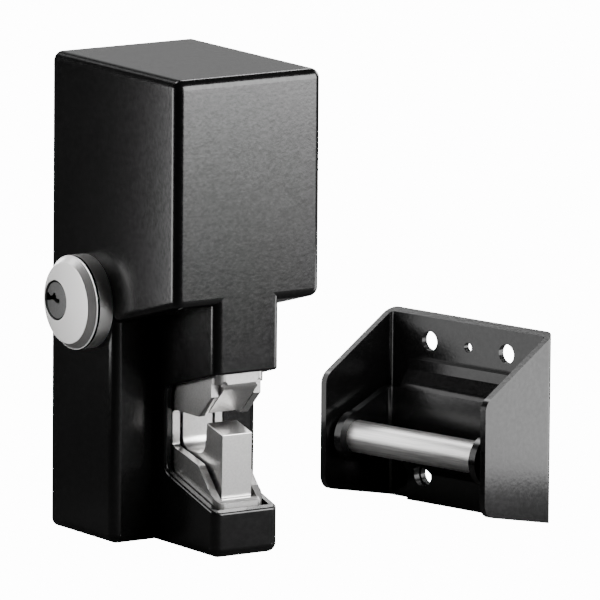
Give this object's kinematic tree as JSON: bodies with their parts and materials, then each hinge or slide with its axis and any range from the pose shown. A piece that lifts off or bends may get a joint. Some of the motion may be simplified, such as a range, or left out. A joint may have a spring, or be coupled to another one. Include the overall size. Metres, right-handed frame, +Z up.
{
  "type": "electric gate lock",
  "caption": "Surface-mounted gate lock: sheet housing, rotary claw in an open mouth, pawl, solenoid and key release, with a strike bracket that carries a round bar.",
  "frame": {"origin": "on the floor plane, in the middle of the lock's base, between its front plane and its back", "axes": "+Z up, -Y out of the lock's front and mouth, -X towards the key cylinder"},
  "size_m": [0.1695, 0.0974, 0.175],
  "materials": {
    "housing": "black powder coat, semi-gloss",
    "housing_nose": "black powder coat, semi-gloss",
    "mounting_plate": "zinc-plated plate",
    "cover_screws": "zinc-plated",
    "cable_grommet": "black rubber",
    "latch_frame": "bright plate",
    "frame_screws": "zinc-plated",
    "claw": "satin steel",
    "claw_pin": "turned steel",
    "claw_stop": "turned steel",
    "spring_post": "turned steel",
    "pawl_pin": "turned steel",
    "link_pin": "turned steel",
    "plunger_pin": "turned steel",
    "claw_spring": "spring wire",
    "plunger_spring": "spring wire",
    "locking_pawl": "hardened steel",
    "microswitch": "black moulding",
    "switch_lever": "spring steel",
    "switch_screws": "zinc-plated",
    "release_link": "zinc-plated",
    "plunger": "turned iron",
    "solenoid_frame": "zinc-plated iron",
    "solenoid_coil": "taped winding",
    "solenoid_screws": "zinc-plated",
    "terminal_block": "moulding",
    "terminal_screws": "zinc-plated",
    "cylinder_body": "satin nickel",
    "cylinder_collar": "satin nickel",
    "cylinder_clamp": "zinc-plated",
    "clamp_screw": "zinc-plated",
    "key_plug": "nickel",
    "key_cam": "zinc-plated",
    "bracket_shell": "black powder coat, semi-gloss",
    "bracket_yoke": "black powder coat, semi-gloss",
    "strike_bar": "stainless bar"
  },
  "bodies": {
    "base": {"housing": "housing", "housing_nose": "housing_nose", "mounting_plate": "mounting_plate", "cover_screws": "cover_screws", "cable_grommet": "cable_grommet", "latch_frame": "latch_frame", "frame_screws": "frame_screws", "claw_pin": "claw_pin", "claw_stop": "claw_stop", "spring_post": "spring_post", "pawl_pin": "pawl_pin", "claw_spring": "claw_spring", "plunger_spring": "plunger_spring", "microswitch": "microswitch", "switch_screws": "switch_screws", "solenoid_frame": "solenoid_frame", "solenoid_coil": "solenoid_coil", "solenoid_screws": "solenoid_screws", "terminal_block": "terminal_block", "terminal_screws": "terminal_screws", "cylinder_body": "cylinder_body", "cylinder_collar": "cylinder_collar", "cylinder_clamp": "cylinder_clamp", "clamp_screw": "clamp_screw", "bracket_shell": "bracket_shell", "bracket_yoke": "bracket_yoke", "strike_bar": "strike_bar"},
    "claw": {"claw": "claw"},
    "pawl": {"locking_pawl": "locking_pawl", "link_pin": "link_pin"},
    "plunger": {"plunger": "plunger", "plunger_pin": "plunger_pin", "release_link": "release_link"},
    "key": {"key_plug": "key_plug", "key_cam": "key_cam"},
    "switch_lever": {"switch_lever": "switch_lever"}
  },
  "joints": [
    {"name": "claw_turn", "type": "hinge", "parent": "base", "child": "claw", "pos_m": [0, -0.0042, 0.029], "axis": [1, 0, 0], "range_deg": [0, 25.4], "deforming": ["claw_spring"]},
    {"name": "pawl_turn", "type": "hinge", "parent": "base", "child": "pawl", "pos_m": [0, 0.0043, 0.062], "axis": [1, 0, 0], "range_deg": [0, 22.9]},
    {"name": "plunger_lift", "type": "slide", "parent": "base", "child": "plunger", "axis": [0, 0, 1], "range_m": [0, 0.00635], "deforming": ["plunger_spring"]},
    {"name": "key_turn", "type": "hinge", "parent": "base", "child": "key", "pos_m": [-0.0404, 0.02425, 0.08705], "axis": [1, 0, 0], "range_deg": [-60, 0]},
    {"name": "switch_lever_turn", "type": "hinge", "parent": "base", "child": "switch_lever", "pos_m": [0.0139, 0.02928, 0.0545], "axis": [1, 0, 0], "range_deg": [-12.6, 0]}
  ],
  "couplings": [
    {"joint": "pawl_turn", "follows": "claw_turn", "ratio": 0.9},
    {"joint": "plunger_lift", "follows": "claw_turn", "m_per_rad": 0.014304},
    {"joint": "key_turn", "follows": "claw_turn", "ratio": -2.3622},
    {"joint": "switch_lever_turn", "follows": "claw_turn", "ratio": -0.496}
  ]
}
